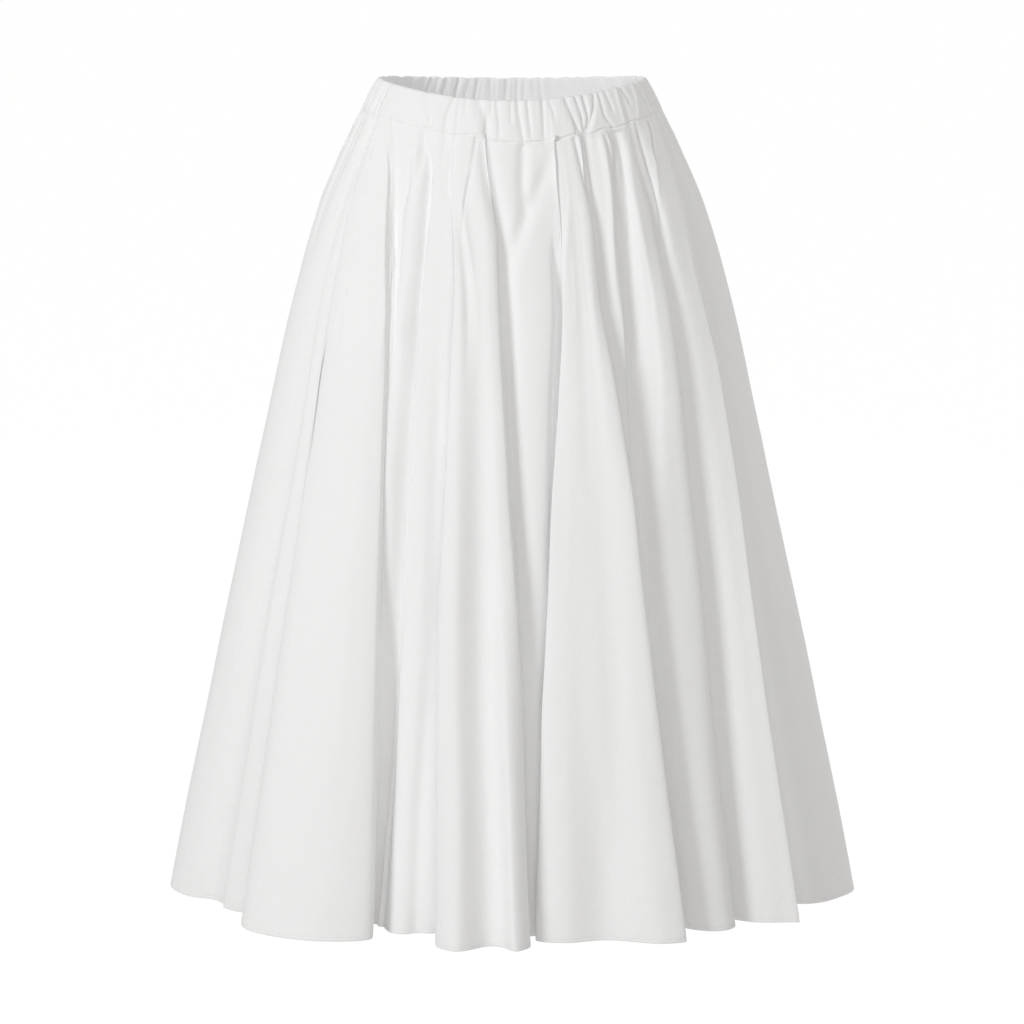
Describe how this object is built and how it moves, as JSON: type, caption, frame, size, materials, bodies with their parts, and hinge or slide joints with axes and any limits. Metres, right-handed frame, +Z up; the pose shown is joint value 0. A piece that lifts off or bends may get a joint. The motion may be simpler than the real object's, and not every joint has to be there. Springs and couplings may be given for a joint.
{
  "type": "pleated skirt",
  "caption": "Hollow midi skirt in plain white cotton, with a gathered elastic waistband and soft pleats that open into deep rounded folds to a narrow hem.",
  "frame": {"origin": "middle of the waist, halfway up the elastic band at its sides, where the wearer holds the skirt", "axes": "+Z up the skirt, -Y out of its front, +X towards the right of the front as it is seen"},
  "size_m": [0.6791, 0.4852, 0.801],
  "materials": {
    "cotton": "matt plain weave, soft and unpressed",
    "cotton_band": "matt plain weave, gathered over elastic"
  },
  "bodies": {
    "root": {"front_panel": "cotton", "back_panel": "cotton", "waistband_front": "cotton_band", "waistband_back": "cotton_band"}
  },
  "joints": []
}
